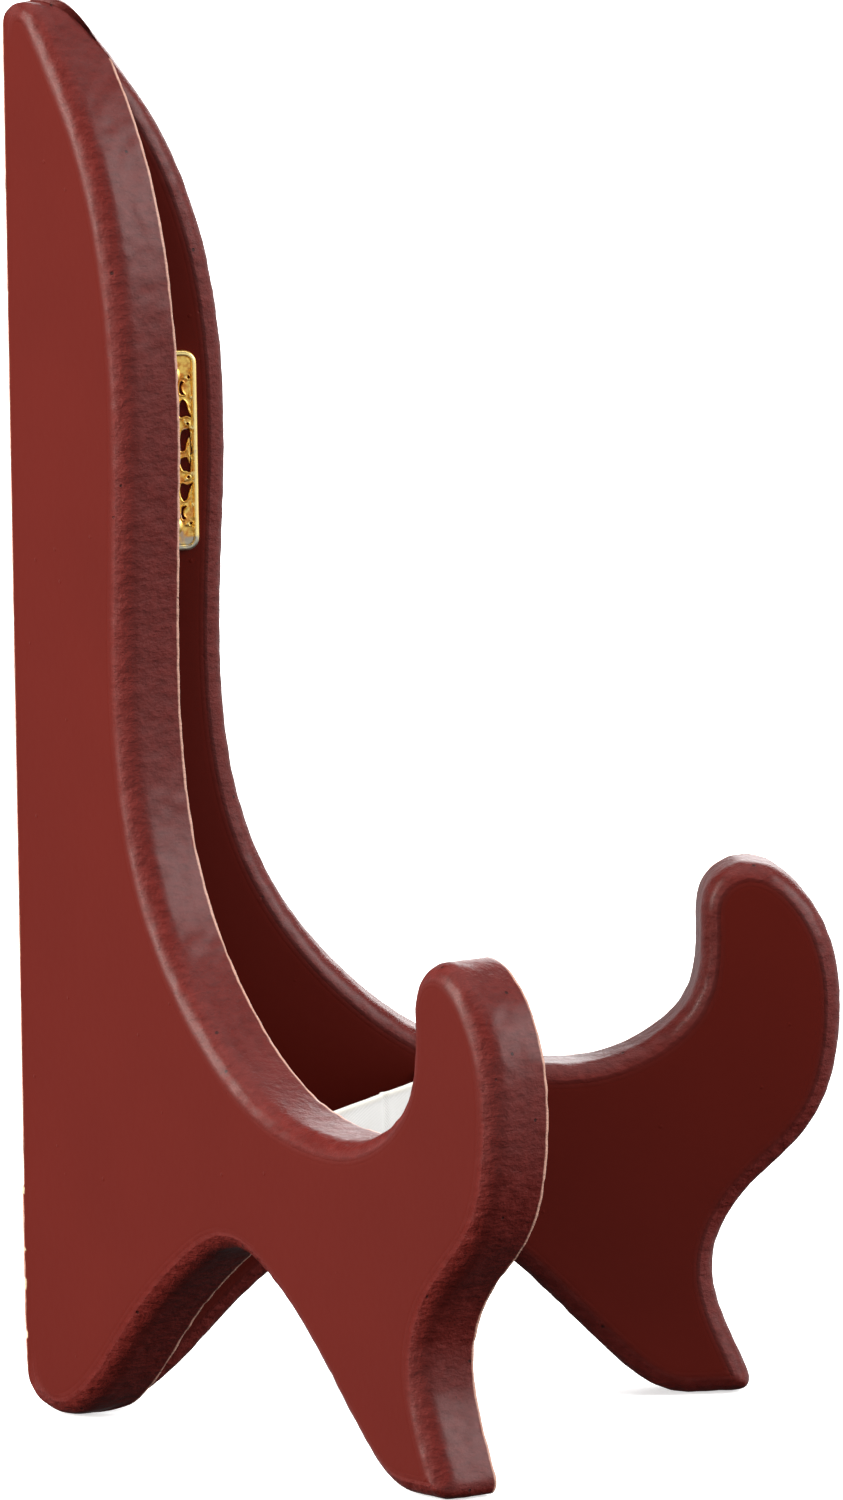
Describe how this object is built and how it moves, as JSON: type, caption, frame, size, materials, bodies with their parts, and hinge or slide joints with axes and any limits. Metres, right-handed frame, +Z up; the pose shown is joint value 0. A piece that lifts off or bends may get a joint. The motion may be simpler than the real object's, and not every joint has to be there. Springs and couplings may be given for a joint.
{
  "type": "plate display stand",
  "caption": "Folding stand that holds a plate upright: two scrolled boards hinged along their back edges, each with a hooked foot, held open by a tape.",
  "frame": {"origin": "bottom centre of the open stand's box, at table height", "axes": "+Z up; the plate faces -Y and the hinge line is at the back, on the +Y side; left board on the -X side"},
  "size_m": [0.1036, 0.0912, 0.1773],
  "materials": {
    "painted_board": "satin red-brown paint on MDF, fuzzy on the routed edges",
    "brass": "thin bright brass plate",
    "staple_wire": "galvanised wire",
    "tape": "smooth off-white woven tape"
  },
  "bodies": {
    "left_side": {"left_board": "painted_board", "left_staple": "staple_wire", "lower_left_leaf": "brass", "lower_left_bottom_nail": "brass", "lower_left_top_nail": "brass", "upper_left_leaf": "brass", "upper_left_bottom_nail": "brass", "upper_left_top_nail": "brass", "lower_pin": "brass", "upper_pin": "brass", "stay_tape": "tape"},
    "right_side": {"right_board": "painted_board", "right_staple": "staple_wire", "lower_right_leaf": "brass", "lower_right_bottom_nail": "brass", "lower_right_top_nail": "brass", "upper_right_leaf": "brass", "upper_right_bottom_nail": "brass", "upper_right_top_nail": "brass"}
  },
  "joints": [
    {"name": "fold", "type": "hinge", "parent": "left_side", "child": "right_side", "pos_m": [-0.00055, 0.02909, 0.0805], "axis": [0, 0, 1], "range_deg": [-60, 0], "deforming": ["stay_tape"]}
  ]
}
